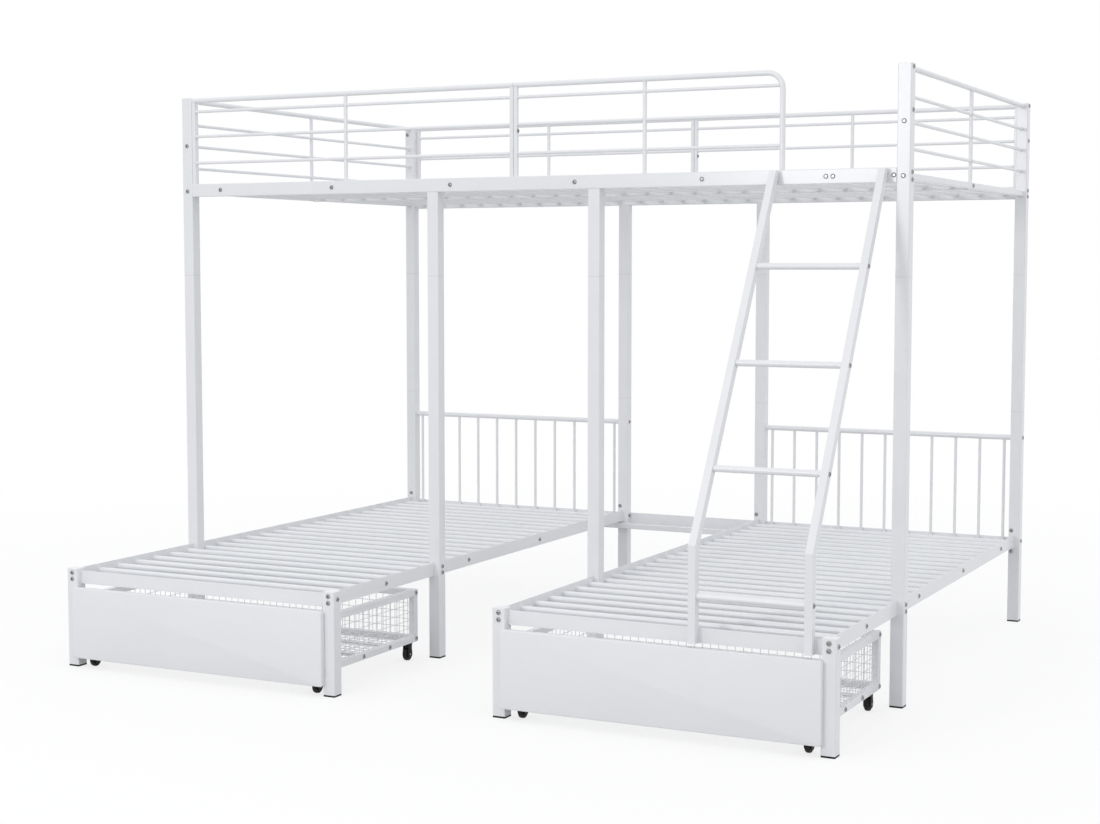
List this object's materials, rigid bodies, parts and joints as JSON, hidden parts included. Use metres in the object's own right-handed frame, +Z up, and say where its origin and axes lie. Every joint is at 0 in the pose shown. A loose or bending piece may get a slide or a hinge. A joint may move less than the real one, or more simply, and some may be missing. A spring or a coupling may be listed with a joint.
{
  "type": "triple bunk bed",
  "caption": "White metal bunk bed with a full-size loft over separate single beds, a slanted ladder, guard rails and rolling wire-basket drawers.",
  "frame": {"origin": "on the floor under the middle of the whole bed's bounding box", "axes": "+X to the right along the loft as seen from the front, +Y to the back where the headboards are, +Z up"},
  "size_m": [2.426, 2.0514, 1.752],
  "materials": {
    "white_steel": "white powder coat, semi-gloss",
    "white_board": "white painted board",
    "black_plastic": "moulded black plastic",
    "bolt_steel": "dark plated steel",
    "bare_steel": "bare steel",
    "wheel_plastic": "black nylon"
  },
  "bodies": {
    "bed_frame": {"front_left_upper_post": "white_steel", "back_left_upper_post": "white_steel", "front_right_upper_post": "white_steel", "back_right_upper_post": "white_steel", "middle_upper_posts": "white_steel", "front_left_lower_post": "white_steel", "front_middle_left_lower_post": "white_steel", "front_middle_right_lower_post": "white_steel", "front_right_lower_post": "white_steel", "back_post_extensions": "white_steel", "left_headboard_posts": "white_steel", "left_bed_front_legs": "white_steel", "right_headboard_posts": "white_steel", "right_bed_front_legs": "white_steel", "foot_caps": "black_plastic", "splice_sleeves": "bare_steel", "loft_front_rail": "white_steel", "loft_back_rail": "white_steel", "loft_centre_support": "white_steel", "loft_slats": "white_steel", "front_left_guard": "white_steel", "front_right_guard": "white_steel", "back_left_guard": "white_steel", "back_right_guard": "white_steel", "left_end_grille": "white_steel", "right_end_grille": "white_steel", "left_bed_front_rail": "white_steel", "left_bed_side_rails": "white_steel", "left_bed_slats": "white_steel", "left_headboard_grille": "white_steel", "right_bed_front_rail": "white_steel", "right_bed_side_rails": "white_steel", "right_bed_slats": "white_steel", "right_headboard_grille": "white_steel", "back_stretcher": "white_steel", "ladder_left_stile": "white_steel", "ladder_right_stile": "white_steel", "ladder_rungs": "white_steel", "frame_bolts": "bolt_steel"},
    "left_drawer": {"left_drawer_front": "white_board", "left_drawer_basket_frame": "white_steel", "left_drawer_mesh": "white_steel", "left_drawer_caster_forks": "black_plastic", "left_drawer_caster_axles": "bare_steel", "left_drawer_bolts": "bolt_steel"},
    "left_drawer_front_left_wheel": {"left_drawer_front_left_wheel": "wheel_plastic"},
    "left_drawer_front_right_wheel": {"left_drawer_front_right_wheel": "wheel_plastic"},
    "left_drawer_back_left_wheel": {"left_drawer_back_left_wheel": "wheel_plastic"},
    "left_drawer_back_right_wheel": {"left_drawer_back_right_wheel": "wheel_plastic"},
    "right_drawer": {"right_drawer_front": "white_board", "right_drawer_basket_frame": "white_steel", "right_drawer_mesh": "white_steel", "right_drawer_caster_forks": "black_plastic", "right_drawer_caster_axles": "bare_steel", "right_drawer_bolts": "bolt_steel"},
    "right_drawer_front_left_wheel": {"right_drawer_front_left_wheel": "wheel_plastic"},
    "right_drawer_front_right_wheel": {"right_drawer_front_right_wheel": "wheel_plastic"},
    "right_drawer_back_left_wheel": {"right_drawer_back_left_wheel": "wheel_plastic"},
    "right_drawer_back_right_wheel": {"right_drawer_back_right_wheel": "wheel_plastic"}
  },
  "joints": [
    {"name": "left_drawer_slide", "type": "slide", "parent": "bed_frame", "child": "left_drawer", "axis": [0, -1, 0], "range_m": [0, 0.55]},
    {"name": "left_drawer_front_left_wheel_spin", "type": "hinge", "parent": "left_drawer", "child": "left_drawer_front_left_wheel", "pos_m": [-1.133, -0.97665, 0.02], "axis": [1, 0, 0], "continuous": true},
    {"name": "left_drawer_front_right_wheel_spin", "type": "hinge", "parent": "left_drawer", "child": "left_drawer_front_right_wheel", "pos_m": [-0.329, -0.97665, 0.02], "axis": [1, 0, 0], "continuous": true},
    {"name": "left_drawer_back_left_wheel_spin", "type": "hinge", "parent": "left_drawer", "child": "left_drawer_back_left_wheel", "pos_m": [-1.133, -0.48265, 0.02], "axis": [1, 0, 0], "continuous": true},
    {"name": "left_drawer_back_right_wheel_spin", "type": "hinge", "parent": "left_drawer", "child": "left_drawer_back_right_wheel", "pos_m": [-0.329, -0.48265, 0.02], "axis": [1, 0, 0], "continuous": true},
    {"name": "right_drawer_slide", "type": "slide", "parent": "bed_frame", "child": "right_drawer", "axis": [0, -1, 0], "range_m": [0, 0.55]},
    {"name": "right_drawer_front_left_wheel_spin", "type": "hinge", "parent": "right_drawer", "child": "right_drawer_front_left_wheel", "pos_m": [0.329, -0.97665, 0.02], "axis": [1, 0, 0], "continuous": true},
    {"name": "right_drawer_front_right_wheel_spin", "type": "hinge", "parent": "right_drawer", "child": "right_drawer_front_right_wheel", "pos_m": [1.133, -0.97665, 0.02], "axis": [1, 0, 0], "continuous": true},
    {"name": "right_drawer_back_left_wheel_spin", "type": "hinge", "parent": "right_drawer", "child": "right_drawer_back_left_wheel", "pos_m": [0.329, -0.48265, 0.02], "axis": [1, 0, 0], "continuous": true},
    {"name": "right_drawer_back_right_wheel_spin", "type": "hinge", "parent": "right_drawer", "child": "right_drawer_back_right_wheel", "pos_m": [1.133, -0.48265, 0.02], "axis": [1, 0, 0], "continuous": true}
  ]
}
